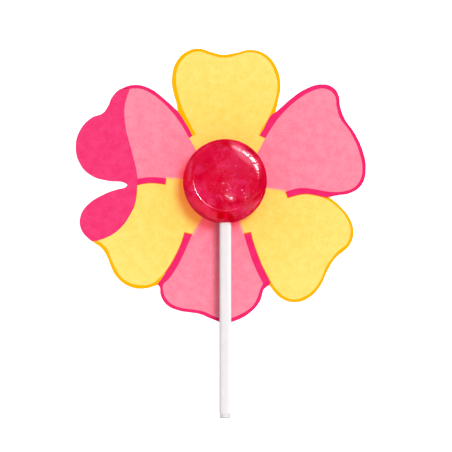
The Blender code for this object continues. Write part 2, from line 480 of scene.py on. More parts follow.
# From the notch at the right in along the strip between the petals
RIGHT_STRIP_EDGE = [
    [(39.0, -6.0), (36.0, -5.6), (33.0, -4.95), (30.0, -4.65), (27.0, -5.1)], [(23.7, -6.05)],
]
LOWER_RIGHT_LINE = [
    *RIGHT_STRIP_EDGE, [(22.8, -4.0)], [(22.6, -4.05)],
    [(23.55, -6.35), (27.0, -5.35), (30.0, -4.9), (33.0, -5.2), (36.0, -5.95), (39.1, -7.4), (42.6, -10.2),
     (45.35, -13.65), (46.9, -17.35), (46.85, -20.15), (45.5, -23.55), (42.75, -25.8), (40.1, -28.7),
     (37.6, -32.5), (35.9, -36.7), (33.15, -40.65), (29.35, -43.4), (25.6, -44.2), (22.45, -43.3),
     (19.2, -40.4), (16.5, -36.5), (14.3, -32.2), (12.3, -27.4), (10.6, -22.5)],
    [(9.7, -19.0)],
    [(9.5, -19.2), (10.4, -22.6), (12.1, -27.5), (14.1, -32.4), (16.2, -36.55)], [(17.0, -38.2)],
    [(16.5, -38.9)] + LOWER_RIGHT_PETAL[:0:-1],
]
# How many of the lower left petal's points lie before the magenta field, and the field's corner
BEFORE_FIELD = 7
FIELD_CORNER = (-49.5, -22.5)
LOWER_LEFT_LINE = [
    LOWER_LEFT_PETAL[:BEFORE_FIELD],
    [FIELD_CORNER],
    [(-47.6, -22.3), (-45.8, -23.6), (-44.1, -25.3), (-42.8, -28.35), (-41.2, -32.0), (-38.9, -35.7),
     (-35.8, -37.95), (-31.8, -38.85), (-27.95, -38.6), (-25.0, -36.6), (-22.1, -33.6), (-19.3, -29.3),
     (-17.0, -24.5), (-15.3, -19.9)],
    [(-14.9, -19.1)],
    [(-14.9, -19.3), (-16.1, -23.0), (-17.9, -27.1), (-20.3, -31.5), (-22.8, -35.2)], [(-25.2, -38.5)],
]
print_shape("orange_lines", [TOP_LINE, LOWER_RIGHT_LINE, LOWER_LEFT_LINE], 2, orange_ink)


# The overprint: hairlines where the orange and the magenta ink lie over each other and make a
# red, along the yellow side and round the end of each strip.
overprint_ink = make_paper(
    "overprint_ink", (0.790, 0.070, 0.004), (0.820, 0.110, 0.012), INK_ROUGHNESS, LINE_TOOTH,
)
LEFT_HAIRLINE = [
    [(-32.6, 0.8), (-30.4, 1.2), (-28.0, 1.4), (-25.2, 1.35)], [(-21.8, 1.05)],
    [(-22.2, -1.4), (-25.2, -0.95), (-28.0, -0.85), (-30.6, -1.15)], [(-32.7, -1.55)],
    [(-32.98, -5.3), (-33.92, -9.6)], [(-35.65, -12.7)], [(-36.6, -12.2), (-35.2, -9.3), (-34.2, -5.2)],
    [(-33.9, -1.0)],
]
BOTTOM_LEFT_HAIRLINE = [
    [(-15.2, -19.1)], [(-12.15, -19.75)], [(-12.35, -20.5)],
    [(-14.7, -19.9), (-15.9, -23.0), (-17.7, -27.1), (-20.1, -31.5)], [(-22.2, -34.6)],
    [(-22.6, -34.2), (-20.6, -31.4), (-18.15, -26.95), (-16.35, -22.85)],
]
BOTTOM_RIGHT_HAIRLINE = [
    [(7.0, -19.55)], [(9.75, -18.95), (10.65, -22.5), (12.35, -27.4), (14.35, -32.3), (16.45, -36.45)],
    [(17.25, -38.2)], [(16.9, -38.3), (15.9, -36.5), (13.8, -32.4), (11.8, -27.5), (10.1, -22.7)],
    [(9.3, -19.7)], [(7.25, -20.3)],
]
RIGHT_HAIRLINE = [
    [(22.5, -3.95)], [(23.45, -6.4), (27.0, -5.4), (30.0, -4.95), (33.0, -5.25), (36.0, -5.9)],
    [(38.9, -6.5)], [(38.5, -6.0), (36.0, -5.3), (33.0, -4.65), (30.0, -4.35), (27.0, -4.8)],
    [(24.0, -5.6)], [(23.1, -3.9)],
]
print_shape("overprint_lines", [
    LEFT_HAIRLINE, BOTTOM_LEFT_HAIRLINE, BOTTOM_RIGHT_HAIRLINE, RIGHT_HAIRLINE,
], 3, overprint_ink)


# The magenta lines: round each pink petal, widening into the strips that part the petals. One
# ink, printed over the orange.
magenta_line_ink = make_paper(
    "magenta_line_ink", (0.715, 0.013, 0.114), (0.760, 0.028, 0.160), INK_ROUGHNESS, LINE_TOOTH,
)
RIGHT_LINE = [
    [(13.0, 17.1), (14.6, 19.8), (15.9, 22.4), (17.5, 24.9)],
    RIGHT_PETAL,
    *RIGHT_STRIP_EDGE,
    [(22.8, -4.0), (26.15, -2.9), (29.4, -2.6), (33.0, -2.95), (37.0, -3.7), (41.0, -4.1), (44.8, -3.8),
     (48.45, -2.3), (50.8, 0.9), (51.4, 5.3), (50.5, 10.1), (48.7, 14.9), (46.3, 19.25), (43.1, 23.55),
     (41.8, 28.0), (41.2, 31.7), (39.4, 33.8), (36.5, 34.65), (33.05, 33.85), (29.0, 31.75),
     (24.7, 28.4), (20.75, 24.4), (17.7, 20.25)],
    [(15.1, 16.0)],
]
BOTTOM_LINE = [
    [(9.55, -19.45), (10.4, -22.6), (12.1, -27.5), (14.1, -32.4), (16.2, -36.55)], [(17.0, -38.2)],
    BOTTOM_PETAL,
    [(-25.2, -38.5), (-22.8, -35.2), (-20.3, -31.5), (-17.9, -27.1), (-16.1, -23.0)], [(-15.0, -19.55)],
    [(-12.4, -20.15), (-13.8, -23.5), (-15.7, -27.8), (-18.2, -32.55), (-21.0, -36.6), (-23.05, -38.75),
     (-23.1, -41.0), (-21.8, -44.2), (-19.4, -46.3), (-15.85, -47.5), (-11.2, -48.1), (-7.45, -48.95),
     (-3.7, -50.7), (0.0, -51.6), (3.65, -50.75), (7.35, -48.95), (10.3, -46.7), (12.2, -43.5),
     (13.2, -40.5)],
    [(14.3, -38.2), (12.65, -35.1), (10.5, -30.3), (8.6, -24.85)], [(7.2, -20.05)],
]
# Which point of the upper left petal ends the magenta field
FIELD_END = 11
UPPER_LEFT_LINE = [
    UPPER_LEFT_PETAL[FIELD_END:],
    [(-17.6, 26.1), (-16.5, 24.5), (-14.9, 21.95), (-13.3, 19.2)], [(-12.15, 16.9)],
    [(-13.35, 16.1), (-15.2, 19.4), (-17.5, 23.0), (-20.6, 26.8), (-23.95, 30.1), (-27.75, 32.9),
     (-31.0, 34.4), (-33.9, 34.65)],
    [(-35.5, 34.5)],
]
LEFT_STRIP = [
    [(-32.6, 0.8), (-30.4, 1.25), (-28.0, 1.45), (-25.2, 1.4)], [(-22.15, 1.1)],
    [(-22.5, -1.15), (-25.2, -0.7), (-28.0, -0.6), (-30.6, -0.9)], [(-32.95, -1.4)],
]
print_shape("magenta_lines", [RIGHT_LINE, BOTTOM_LINE, UPPER_LEFT_LINE, LEFT_STRIP], 4, magenta_line_ink)


# The magenta field: one broad flat shape of ink over the outer half of the upper left petal. It
# runs on across the notch into the petal below it, and its two halves meet at the notch.
magenta_field_ink = make_paper(
    "magenta_field_ink", (0.715, 0.022, 0.128), (0.785, 0.058, 0.194), INK_ROUGHNESS, LINE_TOOTH,
)
MAGENTA_FIELD = [
    [FIELD_CORNER] + LOWER_LEFT_PETAL[BEFORE_FIELD:],
    UPPER_LEFT_PETAL[:FIELD_END + 1],
    [(-35.5, 34.5), (-36.9, 30.7), (-37.6, 27.0), (-37.5, 23.0), (-36.9, 18.85), (-35.4, 13.2),
     (-34.0, 7.9), (-33.0, 3.7)],
    [(-32.6, 0.8)],
    [(-32.95, -1.4), (-33.2, -5.2), (-34.2, -9.75), (-36.2, -13.85), (-39.1, -17.6), (-43.2, -20.6)],
    [(-47.6, -22.3)],
]
print_shape("magenta_field", [MAGENTA_FIELD], 4, magenta_field_ink)


# The candy: boiled sugar cast in a round mould, cloudy red, with a low ring round its upper
# face, an uneven shoulder and a thin ledge where the mould halves met. It grips the stick.
# Sizes in millimetres, radii from the middle of the rim
CANDY_RADIUS = 15.6
CANDY_MID_Z = 6.3
CANDY_HALF = 5.5
FACE_EDGE = 11.0
RING_RADIUS = 12.1
SHOULDER_RADIUS = 15.25
SHOULDER_FOOT = 0.75
SHOULDER_FULLNESS = 2.6
# The face sits a little toward the flower's top, off the middle of the rim
FACE_LIFT = 0.95
CANDY_TURNS = 384


def shoulder_height(share):
    """Height of the shoulder over the candy's middle, for 0 at the ring to 1 at the ledge."""
    fall = CANDY_HALF - SHOULDER_FOOT
    return SHOULDER_FOOT + fall * max(1.0 - share ** SHOULDER_FULLNESS, 0.0) ** (1.0 / SHOULDER_FULLNESS)


def candy_profile():
    """Radius and height of the section's edge, from the middle of the face round to the back's."""
    reach = SHOULDER_RADIUS - RING_RADIUS
    gentle = [0.45 * step / 16 for step in range(1, 17)]
    steep = [math.sin(math.radians(26.7 + 63.3 * step / 14)) for step in range(1, 15)]
    under = [math.sin(math.radians(90.0 - 90.0 * step / 12)) for step in range(1, 12)]
    points = [(step * 0.15, CANDY_HALF) for step in range(74)]
    points += [(FACE_EDGE + step * 0.055, CANDY_HALF) for step in range(1, 21)]
    points += [(RING_RADIUS + reach * share, shoulder_height(share)) for share in gentle + steep]
    points += [(15.42, 0.70), (15.55, 0.62), (CANDY_RADIUS, 0.48), (CANDY_RADIUS, 0.0)]
    points += [(CANDY_RADIUS, -0.48), (15.5, -0.65)]
    points += [(RING_RADIUS + reach * share, -shoulder_height(share)) for share in under]
    points += [(radius, -CANDY_HALF) for radius in (RING_RADIUS, 11.6, 11.1, 9.0, 6.0, 3.0, 0.0)]
    return points


profile = candy_profile()
deselect_all()
bpy.ops.mesh.primitive_plane_add(size=0.002, location=(0.0, 0.0, 0.0))
candy = bpy.context.object
candy.name = "cast_candy"
candy.data.name = "cast_candy"
bpy.ops.object.mode_set(mode="EDIT")
bpy.ops.mesh.select_all(action="SELECT")
bpy.ops.mesh.merge(type="CENTER")
bpy.ops.transform.translate(value=(profile[0][0] * MM, 0.0, profile[0][1] * MM))
for (near_r, near_z), (far_r, far_z) in zip(profile, profile[1:]):
    step = ((far_r - near_r) * MM, 0.0, (far_z - near_z) * MM)
    bpy.ops.mesh.extrude_region_move(TRANSFORM_OT_translate={"value": step})
bpy.ops.mesh.select_all(action="SELECT")
bpy.ops.mesh.spin(steps=CANDY_TURNS, angle=math.tau, center=(0.0, 0.0, 0.0), axis=(0.0, 0.0, 1.0))
bpy.ops.mesh.select_all(action="SELECT")
bpy.ops.mesh.remove_doubles(threshold=0.000002)
bpy.ops.mesh.normals_make_consistent(inside=False)
bpy.ops.object.mode_set(mode="OBJECT")


def smooth(low, high, value):
    share = np.clip((value - low) / (high - low), 0.0, 1.0)
    return share * share * (3.0 - 2.0 * share)


def bump_shape(gap):
    """Height of a soft round bump, 1 in its middle and 0 from a gap of 1 on."""
    return np.where(gap < 1.0, (1.0 - gap ** 2) ** 2, 0.0)


# Sculpting: the poured sugar is never quite true to its mould
places = np.zeros(len(candy.data.vertices) * 3)
candy.data.vertices.foreach_get("co", places)
places = places.reshape(-1, 3) / MM
radius = np.hypot(places[:, 0], places[:, 1])
bearing = np.arctan2(places[:, 1], places[:, 0])
height = places[:, 2]
upper = height > 0.0


def turned_from(degrees):
    """How far each vertex's bearing is from a bearing, in degrees."""
    return np.abs((np.degrees(bearing) - degrees + 180.0) % 360.0 - 180.0)


def around(degrees, full, reach):
    """1 for vertices within full degrees of a bearing, fading to 0 at reach degrees."""
    return 1.0 - smooth(full, reach, turned_from(degrees))


# The ring's crest is broad toward the upper right and tight toward the lower left
crest = 11.83 - 0.21 * np.cos(bearing - math.radians(40.0))
crest -= 0.42 * around(70.0, 6.0, 42.0) + 0.34 * around(8.0, 6.0, 26.0)
ledge = 0.12 + 0.50 * around(-14.0, 14.0, 30.0)
outward = np.clip((radius - RING_RADIUS) / (SHOULDER_RADIUS - RING_RADIUS), 0.0, None)
over_ledge = (radius - SHOULDER_RADIUS) / (CANDY_RADIUS - SHOULDER_RADIUS)
shoulder_r = crest + outward * (CANDY_RADIUS - ledge - crest)
shoulder_r = np.where(radius > SHOULDER_RADIUS, CANDY_RADIUS - ledge * (1.0 - over_ledge), shoulder_r)
new_radius = np.where(radius <= RING_RADIUS, radius * crest / RING_RADIUS, shoulder_r)
# The step down to the face is sharpest at the left and dies away toward the stick
inner_drop = 0.062 + 0.036 * around(204.0, 6.0, 30.0)
slope = 1.0 - smooth(0.952, 1.0, radius / RING_RADIUS)
face_swell = 0.10 * (1.0 - np.clip(radius / FACE_EDGE, 0.0, 1.0) ** 2)
new_height = height + np.where(upper & (radius <= RING_RADIUS), face_swell - inner_drop * slope, 0.0)
# Toward the upper right the crest is worn into a broad bevel that falls gently outward
past_crest = np.clip(new_radius - crest - 0.10, 0.0, None)
bevel_z = CANDY_HALF - 0.12 * past_crest - 0.06 * past_crest ** 2
bevel_cut = np.clip(new_height - bevel_z, 0.0, None) * around(46.0, 21.0, 35.0)
new_height = np.where(upper & (past_crest > 0.0), new_height - bevel_cut, new_height)
shift = FACE_LIFT * (1.0 - smooth(crest, 15.4, new_radius))
x = new_radius * np.cos(bearing)
y = new_radius * np.sin(bearing) + shift


def mound(middle_x, middle_y, reach, rise):
    """A soft round lump."""
    return rise * bump_shape(np.hypot(x - middle_x, y - middle_y) / reach)


def ridge(x0, y0, x1, y1, reach, rise):
    """A soft lump drawn out from one place to another."""
    along_x, along_y = x1 - x0, y1 - y0
    share = np.clip(((x - x0) * along_x + (y - y0) * along_y) / (along_x ** 2 + along_y ** 2), 0.0, 1.0)
    return rise * bump_shape(np.hypot(x - x0 - share * along_x, y - y0 - share * along_y) / reach)


# Slow waves in the surface, then the lumps over the bubbles: middle, reach and rise
relief = 0.012 * np.sin(0.9 * x + 0.4 * y + 1.0) * np.sin(0.7 * y - 0.3 * x)
relief += 0.003 * np.sin(2.3 * x - 1.1 * y) * np.sin(1.9 * y + 0.8 * x + 2.0)
for middle_x, middle_y, reach, rise in (
    (2.3, -6.5, 0.75, 0.13), (-0.6, -0.9, 0.40, 0.065), (0.9, -1.1, 0.40, 0.060), (5.8, 1.1, 0.35, 0.055),
    (6.4, -3.7, 0.36, 0.070), (7.0, -4.9, 0.34, 0.055), (7.7, -6.3, 0.36, 0.060), (0.8, -3.7, 0.40, 0.060),
    (0.2, -5.6, 0.40, 0.085), (-3.4, 6.6, 0.80, 0.040), (3.4, 8.6, 0.70, 0.040), (-7.8, 4.6, 0.80, 0.030),
    (1.8, -3.1, 0.36, 0.055), (4.4, -1.9, 0.36, 0.050), (-6.9, -7.3, 0.50, 0.060), (2.6, -8.2, 0.50, 0.060),
):
    relief += mound(middle_x, middle_y, reach, rise)
relief += ridge(0.6, -5.6, 2.0, -6.3, 0.34, 0.085)
# Small cracks across the crest, where the cooling sugar split
CRACK_HALF = 0.26
along = smooth(10.9, 11.7, new_radius) * (1.0 - smooth(13.0, 13.9, new_radius))
for degrees, depth in ((13.0, 0.10), (27.0, 0.14), (42.0, 0.12), (62.0, 0.09)):
    relief -= depth * along * bump_shape(np.radians(turned_from(degrees)) * new_radius / CRACK_HALF)
new_height = new_height + np.where(upper & (radius < 15.2), relief, 0.0)
# The sugar that closes round the stick, a half-round neck between the ring and the rim
STICK_X = 0.15
NECK_HALF = 2.75
across_neck = (x - STICK_X) / NECK_HALF
neck_top = NECK_HALF * np.sqrt(np.clip(1.0 - across_neck ** 2, 0.0, None))
on_neck = upper & (y < -10.5) & (np.abs(across_neck) < 1.0) & (radius > RING_RADIUS)
new_height = np.where(on_neck, np.maximum(new_height, neck_top), new_height)
# Not a true circle: it sagged a little toward the stick before it set
sag = 0.12 - 0.13 * np.sin(bearing) + 0.10 * np.sin(2.0 * bearing) - 0.05 * np.cos(2.0 * bearing)
on_stick = around(270.0, 4.0, 11.0)
pull = sag * (1.0 - on_stick) - 0.18 * on_stick
rim_wave = 1.0 + pull / CANDY_RADIUS * smooth(12.6, 15.2, radius)
# Two nicks in the seam of the mould
for degrees in (194.5, -11.5):
    rim_wave -= 0.012 * (radius > 15.0) * bump_shape(turned_from(degrees) / 1.6)
places = np.stack([x * rim_wave, y * rim_wave, new_height + CANDY_MID_Z], axis=1) * MM
candy.data.vertices.foreach_set("co", places.reshape(-1))
candy.data.update()

# The hole that the stick sits in, cut from its inner end out past the rim
HOLE_RADIUS = 2.08
HOLE_INNER_Y = 1.8
HOLE_LENGTH = 26.0
deselect_all()
bpy.ops.mesh.primitive_cylinder_add(
    vertices=64, radius=HOLE_RADIUS * MM, depth=HOLE_LENGTH * MM, rotation=(math.pi / 2, 0.0, 0.0),
    location=(STICK_X * MM, (HOLE_INNER_Y - HOLE_LENGTH / 2) * MM, CANDY_MID_Z * MM),
)
drill = bpy.context.object
deselect_all()
candy.select_set(True)
bpy.context.view_layer.objects.active = candy
bore = candy.modifiers.new("stick_bore", "BOOLEAN")
bore.operation = "DIFFERENCE"
bore.solver = "EXACT"
bore.object = drill
bpy.ops.object.modifier_apply(modifier=bore.name)
bpy.data.objects.remove(drill, do_unlink=True)
bpy.ops.object.shade_smooth_by_angle(angle=math.radians(40.0))


# Where the sugar is milkier or clearer, and where light and shade are painted into it: painted shade on the
# rims and the right where the key falls, painted light at the left and below where light comes through the
# sugar, and a painted sheen at the upper right. Label, middle, reach, turn, strength and colour. Middles and
# reaches are in millimetres.
SUGAR_PATCHES_AND_PAINTED_LIGHT = (
    # Painted sheen where the face catches the key at the upper right
    ("painted sheen at the upper right", (4.6, 5.8, 11.8), (9.5, 7.0), -45.0, 0.50, (0.680, 0.022, 0.094)),
    ("clear to the left", (-4.5, 0.0, 11.8), (8.0, 7.0), 20.0, 0.45, (0.690, 0.0004, 0.030)),
    ("clear upper left", (-7.5, 8.5, 11.0), (8.0, 6.0), 45.0, 0.70, (0.610, 0.0004, 0.032)),
    # Painted shade on the rims toward the upper right, where the key falls hardest
    ("painted shade on the right rim", (14.6, 0.5, 8.0), (3.4, 14.0), 0.0, 0.95, (0.520, 0.0004, 0.020)),
    ("painted shade on the upper right rim", (10.6, 11.2, 8.0), (10.5, 2.6), -45.0, 0.95, (0.395, 0.0004, 0.018)),
    ("painted shade on the top rim", (-1.0, 14.9, 8.0), (13.0, 3.2), 0.0, 0.95, (0.510, 0.0004, 0.022)),
    # Painted light at the left, lower left and below, where the key's light comes out through the sugar
    ("painted light on the left rim", (-14.6, 2.5, 8.0), (2.8, 13.0), 0.0, 0.85, (0.770, 0.0030, 0.030)),
    ("painted light at the lower left", (-9.8, -10.0, 9.0), (10.5, 3.6), -45.0, 0.78, (0.780, 0.034, 0.084)),
    ("painted light below", (-3.8, -13.4, 9.0), (7.5, 2.8), -12.0, 0.75, (0.810, 0.042, 0.085)),
    ("milky lower right", (9.2, -9.0, 9.0), (8.5, 3.6), 48.0, 0.50, (0.600, 0.030, 0.062)),
    ("clear lower right rim", (12.0, -9.6, 8.0), (6.5, 1.3), 52.0, 0.95, (0.610, 0.0004, 0.014)),
    ("clear streak in it", (10.3, -7.6, 8.0), (3.6, 0.6), 50.0, 0.80, (0.620, 0.0010, 0.018)),
    ("red lower left rim", (-8.6, -12.6, 8.0), (12.5, 1.4), -36.0, 0.50, (0.560, 0.0010, 0.024)),
    ("milky middle", (1.1, -2.4, 11.8), (3.4, 5.6), 12.0, 0.22, (0.780, 0.060, 0.140)),
    # Painted shade on the right side of the face, toward the key
    ("painted shade at the right", (9.6, 0.4, 11.0), (4.4, 8.0), 0.0, 0.45, (0.650, 0.0070, 0.044)),
)
# Streaks that the pour left, running round the candy at the left and the lower right: label,
# bearing, middle, reach, strength and colour
SUGAR_STREAKS = (
    ("streaks at the left", 84.0, (-12.4, 3.0, 9.0), (3.6, 10.0), 0.22, (0.740, 0.080, 0.140)),
    ("streaks at the lower right", 48.0, (10.2, -8.4, 9.0), (5.5, 6.0), 0.20, (0.740, 0.150, 0.180)),
    ("drag below the middle", -62.0, (0.8, -4.8, 11.0), (5.0, 5.0), 0.55, (0.800, 0.090, 0.170)),
)
# The marks with clean edges, in the same order of values as the patches: the painted highlight and sheen on
# the ring, the painted glints and glow on the lumps and bubbles, the streaks in the shoulder, and the painted
# shade and painted highlight on the sugar round the stick
SUGAR_MARKS_AND_PAINTED_LIGHT = (
    # Painted sheen and a painted highlight where the ring's crest catches the key
    ("painted sheen inside the crest", (7.4, 9.5, 11.8), (8.6, 2.4), -42.0, 0.62, (0.820, 0.180, 0.270)),
    ("painted highlight at the start of the gloss", (4.8, 11.9, 11.8), (3.4, 0.8), -27.0, 0.42, (0.900, 0.400, 0.480)),
    # Painted glints on the largest lump and the ridge, with a painted sheen round them
    ("painted sheen round the biggest lump", (1.9, -6.1, 11.6), (3.0, 2.0), -28.0, 0.30, (0.840, 0.200, 0.300)),
    ("painted glint on the largest lump", (2.2, -6.5, 11.6), (0.90, 0.62), -28.0, 0.90, (0.960, 0.640, 0.700)),
    ("painted glint on the ridge beside it", (0.9, -5.8, 11.6), (1.5, 0.38), -33.0, 0.55, (0.930, 0.420, 0.500)),
    # Painted glints where small bubbles break the surface
    ("painted glint on the bubble left of the middle", (-0.6, -0.85, 11.7), (0.60, 0.45), 0.0, 0.26, (0.930, 0.400, 0.500)),
    ("painted glint on the bubble below the middle", (0.85, -3.4, 11.7), (0.55, 0.50), 0.0, 0.26, (0.930, 0.450, 0.540)),
    ("painted glint on the bubble right of that", (2.0, -2.8, 11.7), (0.45, 0.45), 0.0, 0.25, (0.900, 0.330, 0.430)),
    ("painted glint on the bubble at the middle", (1.5, -1.5, 11.7), (0.45, 0.45), 0.0, 0.22, (0.900, 0.300, 0.400)),
    ("painted glint on the first bubble at the right", (6.45, -3.4, 11.7), (0.45, 0.45), 0.0, 0.35, (0.930, 0.420, 0.500)),
    ("painted glint on the second bubble at the right", (7.15, -4.6, 11.7), (0.40, 0.40), 0.0, 0.28, (0.900, 0.350, 0.440)),
    ("painted glint on the third bubble at the right", (7.85, -6.0, 11.7), (0.45, 0.45), 0.0, 0.30, (0.910, 0.380, 0.460)),
    ("painted glint on the bubble above the middle", (4.0, 5.6, 11.7), (0.55, 0.45), 0.0, 0.22, (0.900, 0.330, 0.430)),
    ("dark streak over the band", (11.9, -6.0, 9.0), (3.8, 0.75), 41.0, 0.90, (0.590, 0.0005, 0.014)),
    ("pale streak in the band", (11.2, -8.9, 9.0), (4.6, 0.60), 40.0, 0.18, (0.840, 0.200, 0.240)),
    ("dark streak by the rim", (9.7, -12.4, 9.0), (3.4, 0.50), 27.0, 0.65, (0.600, 0.0006, 0.020)),
    # Painted shade where the stick blocks light inside the sugar, and a painted highlight along the top of
    # the neck
    ("painted shade round the stick", (-1.7, -13.0, 8.5), (2.1, 2.2), 20.0, 1.0, (0.560, 0.0004, 0.006)),
    ("painted shade beside the stick", (2.1, -13.8, 8.5), (1.9, 2.0), -20.0, 1.0, (0.560, 0.0004, 0.006)),
    ("painted shade over the stick's end", (0.2, -12.6, 8.5), (2.8, 2.2), 0.0, 0.9, (0.585, 0.0004, 0.007)),
    ("painted highlight over the stick", (0.4, -13.8, 8.5), (0.9, 2.6), 0.0, 0.9, (0.760, 0.0010, 0.036)),
)
# Where the skin is duller: label, middle, reach, turn and the share of gloss that is left
DULL_SPOTS = (
    ("dull spot on the ring", (12.7, -0.9, 11.4), (2.6, 3.8), 0.0, 0.1),
    ("duller start of the gloss", (3.6, 12.4, 11.4), (3.4, 1.9), -25.0, 0.35),
)
# A spot's reach up and down, so deep that it colours the whole height at its place
SPOT_DEPTH = 30.0


def soft_spot(tree, place, label, middle, reach, turn=0.0, depth=SPOT_DEPTH):
    """A mask that is 1 in the middle of a stretched round spot and 0 at its reach, in mm."""
    fit = add_node(tree, "ShaderNodeMapping", label)
    fit.vector_type = "TEXTURE"
    fit.inputs["Location"].default_value = [value * MM for value in middle]
    fit.inputs["Rotation"].default_value = (0.0, 0.0, math.radians(turn))
    fit.inputs["Scale"].default_value = (reach[0] * MM, reach[1] * MM, depth * MM)
    ball = add_node(tree, "ShaderNodeTexGradient", label)
    ball.gradient_type = "SPHERICAL"
    tree.links.new(place, fit.inputs["Vector"])
    tree.links.new(fit.outputs["Vector"], ball.inputs["Vector"])
    return ball.outputs["Fac"]


def times(tree, label, first, second):
    return work_out(tree, label, "MULTIPLY", first, second, clamp=True)


def paint_spots(tree, colour, place, edge, spots):
    """Lays soft spots over a colour. Each is at full strength from the share edge inward."""
    for label, middle, reach, turn, strength, tone in spots:
        spot = spread(tree, label, soft_spot(tree, place, label, middle, reach, turn), 0.0, edge)
        colour = mix_colour(tree, label, times(tree, label, spot, strength), colour, tone)
    return colour


def push_about(tree, place):
    """Moves the places about by up to 2 mm, so that what is laid out on them has ragged edges."""
    push = add_node(tree, "ShaderNodeTexNoise", "ragged edges")
    push.inputs["Scale"].default_value = 420.0
    push.inputs["Detail"].default_value = 3.0
    tree.links.new(place, push.inputs["Vector"])
    pushed = add_node(tree, "ShaderNodeVectorMath", "pushed about")
    pushed.operation = "MULTIPLY_ADD"
    pushed.inputs[1].default_value = (4.0 * MM, 4.0 * MM, 0.0)
    tree.links.new(push.outputs["Color"], pushed.inputs[0])
    tree.links.new(place, pushed.inputs[2])
    back = add_node(tree, "ShaderNodeVectorMath", "half of it taken back")
    back.operation = "SUBTRACT"
    back.inputs[1].default_value = (2.0 * MM, 2.0 * MM, 0.0)
    tree.links.new(pushed.outputs["Vector"], back.inputs[0])
    return back.outputs["Vector"]


def painted_ring_highlight(tree, place):
    """A painted highlight: a thin pale line, broken here and there, where the ring meets the face toward the
    stick.
    """
    label = "distance from the face's middle"
    away = soft_spot(tree, place, label, (0.2, 0.5, 11.4), (20.0, 20.0), depth=600.0)
    off_line = work_out(tree, "how far off the line", "SUBTRACT", away, 0.42)
    off_size = work_out(tree, "either side of the line", "ABSOLUTE", off_line)
    line = spread(tree, "line width", off_size, 0.002, 0.012, 1.0, 0.0)
    near = soft_spot(tree, place, "toward the stick", (-1.4, -11.2, 11.4), (8.0, 3.6))
    near = spread(tree, "toward the stick", near, 0.0, 0.4)
    broken = noise(tree, place, "broken line", 700.0, 2.0)
    broken = spread(tree, "broken line", broken, 0.38, 0.56, 0.25, 1.0)
    line = times(tree, "line toward the stick", times(tree, "line toward the stick", line, near), broken)
    return times(tree, "faint line", line, 0.60)


def sugar_colour_and_painted_light(tree, place, clouds):
    """Clear red sugar with milky clouds, dark drifts, threads of air, streaks and spots, some spots being
    painted shade, painted light and painted glints, and a painted highlight along the ring.
    """
    colour = mix_colour(tree, "clear to milky", clouds, (0.605, 0.0004, 0.032), (0.700, 0.0165, 0.100))
    dark = spread(tree, "dark drifts", noise(tree, place, "dark drifts", 330.0, 3.0, 2.0), 0.56, 0.68)
    dark = times(tree, "thin the drifts", dark, 0.75)
    colour = mix_colour(tree, "dark drifts", dark, colour, (0.600, 0.0004, 0.020))
    # Fine pale threads of air pulled through the sugar
    folds = noise(tree, place, "threads", 520.0, 5.0, 3.0)
    off_fold = work_out(tree, "distance from the middle value", "SUBTRACT", folds, 0.5)
    off_fold = work_out(tree, "either side", "ABSOLUTE", off_fold)
    thread = spread(tree, "thread width", off_fold, 0.0, 0.030, 1.0, 0.0)
    where = noise(tree, place, "where threads gather", 260.0, 2.0, 0.5)
    where = spread(tree, "where threads gather", where, 0.42, 0.62)
    threads = times(tree, "pale threads", times(tree, "threads", thread, where), 0.85)
    colour = mix_colour(tree, "threads", threads, colour, (0.800, 0.130, 0.220))
    colour = paint_spots(tree, colour, push_about(tree, place), 0.85, SUGAR_PATCHES_AND_PAINTED_LIGHT)
    for label, along, middle, reach, strength, tone in SUGAR_STREAKS:
        drawn = add_node(tree, "ShaderNodeMapping", label)
        drawn.vector_type = "TEXTURE"
        drawn.inputs["Rotation"].default_value = (0.0, 0.0, math.radians(along))
        drawn.inputs["Scale"].default_value = (7.0, 1.0, 1.0)
        tree.links.new(place, drawn.inputs["Vector"])
        lines = noise(tree, drawn.outputs["Vector"], label, 900.0, 3.0, 0.6)
        lines = spread(tree, label, lines, 0.52, 0.66)
        area = spread(tree, label, soft_spot(tree, place, label, middle, reach), 0.0, 0.7)
        share = times(tree, label, times(tree, label, area, lines), strength)
        colour = mix_colour(tree, label, share, colour, tone)
    colour = paint_spots(tree, colour, place, 0.6, SUGAR_MARKS_AND_PAINTED_LIGHT)
    # The painted highlight along the ring, laid over the rest
    return mix_colour(tree, "painted highlight line", painted_ring_highlight(tree, place), colour, (0.850, 0.200, 0.290))


def sugar_gloss(tree, place):
    """Glossy on the face and the ring, dull down the shoulder and clearer at the side."""
    up = add_node(tree, "ShaderNodeSeparateXYZ", "height in the candy")
    tree.links.new(place, up.inputs["Vector"])
    top = spread(tree, "gloss toward the top", up.outputs["Z"], 11.0 * MM, 11.36 * MM, 0.02, 1.0)
    side = spread(tree, "gloss at the side", up.outputs["Z"], 7.0 * MM, 8.8 * MM, 0.45, 0.0)
    gloss = work_out(tree, "the glossier of the two", "MAXIMUM", top, side)
    for label, middle, reach, turn, left in DULL_SPOTS:
        spot = spread(tree, label, soft_spot(tree, place, label, middle, reach, turn), 0.0, 0.5, 1.0, left)
        gloss = times(tree, label, gloss, spot)
    return gloss


